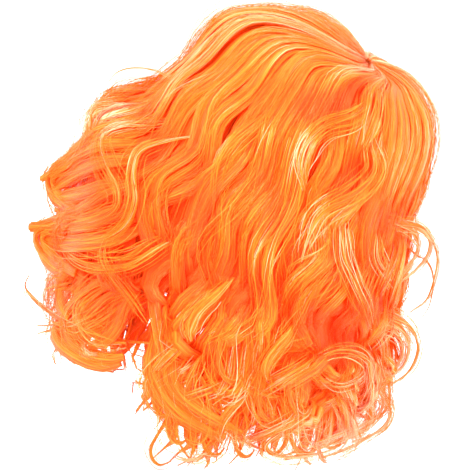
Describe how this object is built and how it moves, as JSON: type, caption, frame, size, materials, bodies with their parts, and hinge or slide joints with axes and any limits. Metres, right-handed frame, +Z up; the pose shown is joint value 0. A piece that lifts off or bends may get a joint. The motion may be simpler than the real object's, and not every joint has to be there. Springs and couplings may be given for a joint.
{
  "type": "dog wig",
  "caption": "Wavy costume wig for a dog: a stretch cap with an open head hollow, and long locks that fan out from a whorl on the crown and leave the face open.",
  "frame": {"origin": "top of the cap's hollow, where the wig sits on the crown of the head", "axes": "+Z up, the face opening looks along -Y, +X is the wearer's left"},
  "size_m": [0.2127, 0.1819, 0.2208],
  "materials": {
    "hair": "glossy synthetic fibre in waves",
    "cap": "matt stretch knit"
  },
  "bodies": {
    "root": {"cap": "cap", "back_hair_left": "hair", "back_hair_right": "hair", "side_hair_left": "hair", "side_hair_right": "hair", "fringe": "hair"}
  },
  "joints": []
}
